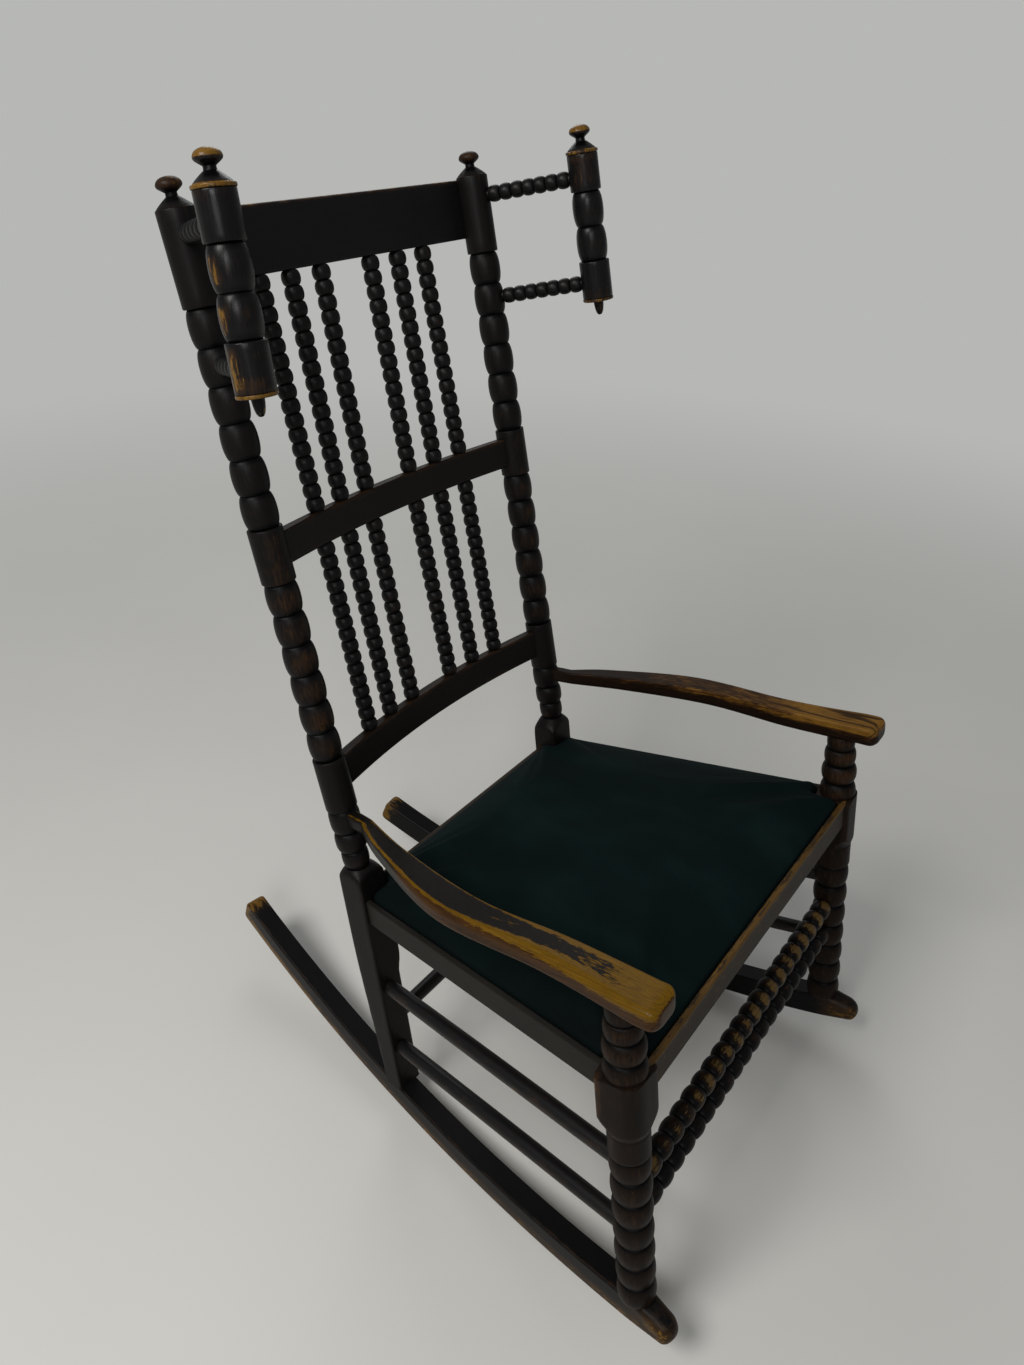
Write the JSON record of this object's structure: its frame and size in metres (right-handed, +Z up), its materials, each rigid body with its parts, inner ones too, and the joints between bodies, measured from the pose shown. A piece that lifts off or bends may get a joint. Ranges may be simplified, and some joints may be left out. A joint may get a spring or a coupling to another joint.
{
  "type": "bobbin rocking chair",
  "caption": "High-backed wooden rocking chair with bobbin-turned posts and spindles, short side wings, curved arms, toed-in rockers and a drop-in velvet seat that lifts out.",
  "frame": {"origin": "on the floor, at the middle of the box round the chair, with the chair standing empty at rest", "axes": "+Z up, -Y the way the sitter faces, +X to the sitter's left"},
  "size_m": [0.559, 0.8042, 1.1259],
  "materials": {
    "ebonised_wood": "ebonised, satin, worn brown on the high spots",
    "worn_arm_wood": "ebonised finish worn through to honey-coloured wood, polished by hands",
    "rocker_wood": "ebonised, scuffed brown along the edges",
    "deal": "bare sawn softwood",
    "webbing": "woven jute strap",
    "stuffing": "felted pad",
    "velvet": "dark green cotton velvet"
  },
  "bodies": {
    "chair_frame": {"rear_post_left": "ebonised_wood", "rear_post_right": "ebonised_wood", "front_leg_left": "ebonised_wood", "front_leg_right": "ebonised_wood", "crest_rail": "ebonised_wood", "middle_back_rail": "ebonised_wood", "lower_back_rail": "ebonised_wood", "upper_spindle_1": "ebonised_wood", "upper_spindle_2": "ebonised_wood", "upper_spindle_3": "ebonised_wood", "upper_spindle_4": "ebonised_wood", "upper_spindle_5": "ebonised_wood", "upper_spindle_6": "ebonised_wood", "lower_spindle_1": "ebonised_wood", "lower_spindle_2": "ebonised_wood", "lower_spindle_3": "ebonised_wood", "lower_spindle_4": "ebonised_wood", "lower_spindle_5": "ebonised_wood", "lower_spindle_6": "ebonised_wood", "wing_post_left": "ebonised_wood", "wing_post_right": "ebonised_wood", "upper_wing_spindle_left": "ebonised_wood", "lower_wing_spindle_left": "ebonised_wood", "upper_wing_spindle_right": "ebonised_wood", "lower_wing_spindle_right": "ebonised_wood", "arm_left": "worn_arm_wood", "arm_right": "worn_arm_wood", "front_seat_rail": "ebonised_wood", "rear_seat_rail": "ebonised_wood", "side_seat_rail_left": "ebonised_wood", "side_seat_rail_right": "ebonised_wood", "upper_front_stretcher": "ebonised_wood", "lower_front_stretcher": "ebonised_wood", "rear_stretcher": "ebonised_wood", "upper_side_stretcher_left": "ebonised_wood", "lower_side_stretcher_left": "ebonised_wood", "upper_side_stretcher_right": "ebonised_wood", "lower_side_stretcher_right": "ebonised_wood", "rocker_left": "rocker_wood", "rocker_right": "rocker_wood"},
    "drop_in_seat": {"seat_frame_front": "deal", "seat_frame_rear": "deal", "seat_frame_left": "deal", "seat_frame_right": "deal", "cross_webbing_1": "webbing", "cross_webbing_2": "webbing", "cross_webbing_3": "webbing", "long_webbing_1": "webbing", "long_webbing_2": "webbing", "long_webbing_3": "webbing", "seat_stuffing": "stuffing", "velvet_cover": "velvet"}
  },
  "joints": [
    {"name": "seat_lift", "type": "slide", "parent": "chair_frame", "child": "drop_in_seat", "axis": [0, 0.1616, 0.9869], "range_m": [0, 0.05]}
  ]
}
